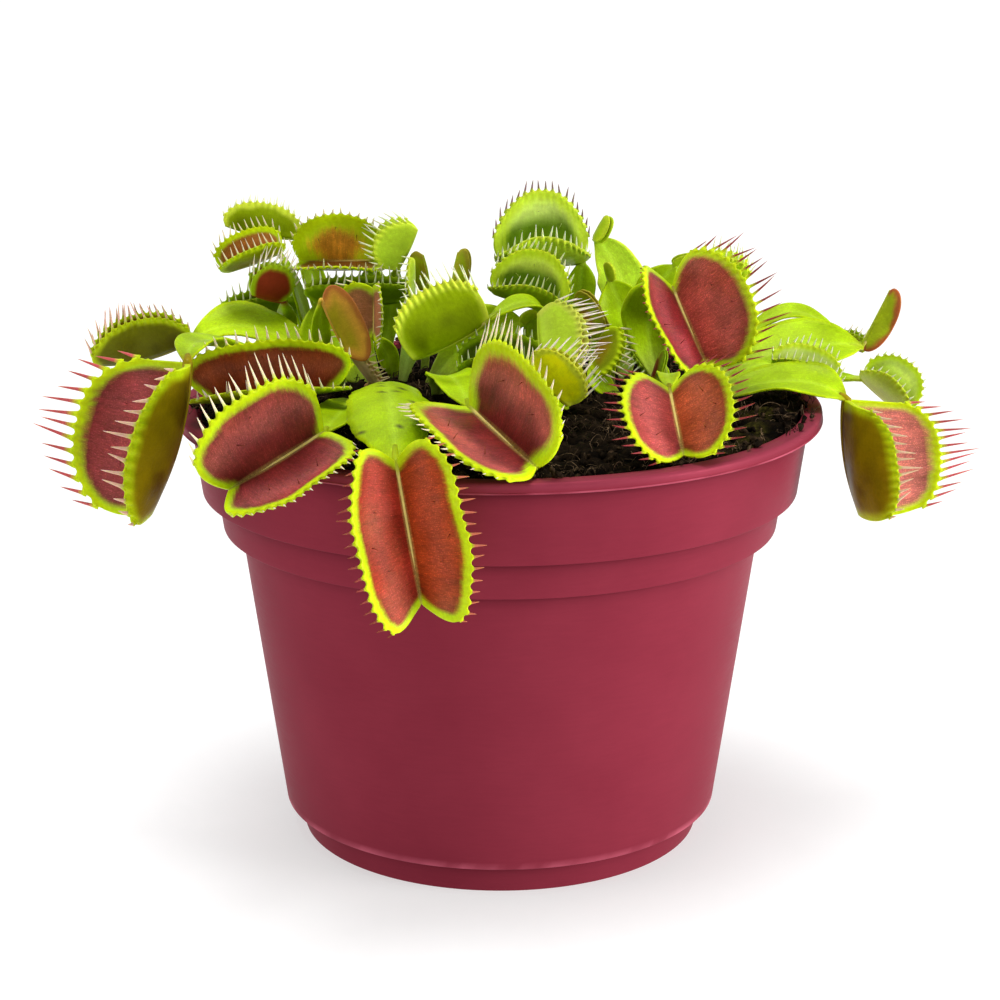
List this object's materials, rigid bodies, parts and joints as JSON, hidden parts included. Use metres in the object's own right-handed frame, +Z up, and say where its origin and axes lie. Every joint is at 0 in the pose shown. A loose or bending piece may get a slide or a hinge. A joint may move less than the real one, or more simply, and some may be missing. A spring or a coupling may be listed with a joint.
{
  "type": "potted venus flytrap",
  "caption": "Venus flytrap in a round tapered plastic nursery pot: arching flat leaf stalks that end in two-lobed toothed traps, some hanging over the rim.",
  "frame": {"origin": "centre of the pot's foot, on the surface the pot stands on", "axes": "+Z up along the pot's axis; -Y is the front, over which the widest traps hang; +X is to the right seen from the front"},
  "size_m": [0.16, 0.131, 0.1181],
  "materials": {
    "pot_plastic": "satin",
    "peat": "matte",
    "leaf_green": "satin",
    "leaf_yellow_green": "satin",
    "leaf_dark_green": "satin",
    "leaf_olive": "satin",
    "leaf_maroon": "satin",
    "leaf_dried": "matte"
  },
  "bodies": {
    "root": {"pot": "pot_plastic", "potting_soil": "peat", "leaf_far_left": "leaf_green", "leaf_left_outer": "leaf_maroon", "leaf_front_left": "leaf_maroon", "leaf_left_brown": "leaf_maroon", "leaf_back_left_top": "leaf_green", "leaf_back_left_olive": "leaf_olive", "leaf_back_left_maroon": "leaf_maroon", "leaf_back_left_wide": "leaf_olive", "leaf_back_left_dark": "leaf_dark_green", "leaf_back_left_pair": "leaf_green", "leaf_left_small": "leaf_green", "leaf_left_edge_on": "leaf_green", "leaf_left_bud_olive": "leaf_olive", "leaf_left_folded": "leaf_olive", "leaf_left_dried": "leaf_dried", "leaf_front_hanging": "leaf_maroon", "leaf_back_left_low": "leaf_olive", "leaf_middle_bud_olive": "leaf_olive", "leaf_middle_strap": "leaf_green", "leaf_middle_closed": "leaf_green", "leaf_middle_front": "leaf_maroon", "leaf_middle_edge_on": "leaf_green", "leaf_middle_yellow": "leaf_yellow_green", "leaf_back_middle_top": "leaf_green", "leaf_back_middle_round": "leaf_green", "leaf_middle_comb": "leaf_dark_green", "leaf_back_right_broad": "leaf_green", "leaf_right_large": "leaf_maroon", "leaf_back_right_blade": "leaf_green", "leaf_right_hidden": "leaf_green", "leaf_right_heart": "leaf_maroon", "leaf_right_olive": "leaf_olive", "leaf_right_olive_rear": "leaf_olive", "leaf_right_dark": "leaf_dark_green", "leaf_back_right_pointed": "leaf_green", "leaf_right_red_bud": "leaf_maroon", "leaf_right_arching": "leaf_maroon", "leaf_right_upright": "leaf_olive", "leaf_right_outer": "leaf_maroon", "leaf_right_pale": "leaf_green", "leaf_right_small_pale": "leaf_green"}
  },
  "joints": []
}
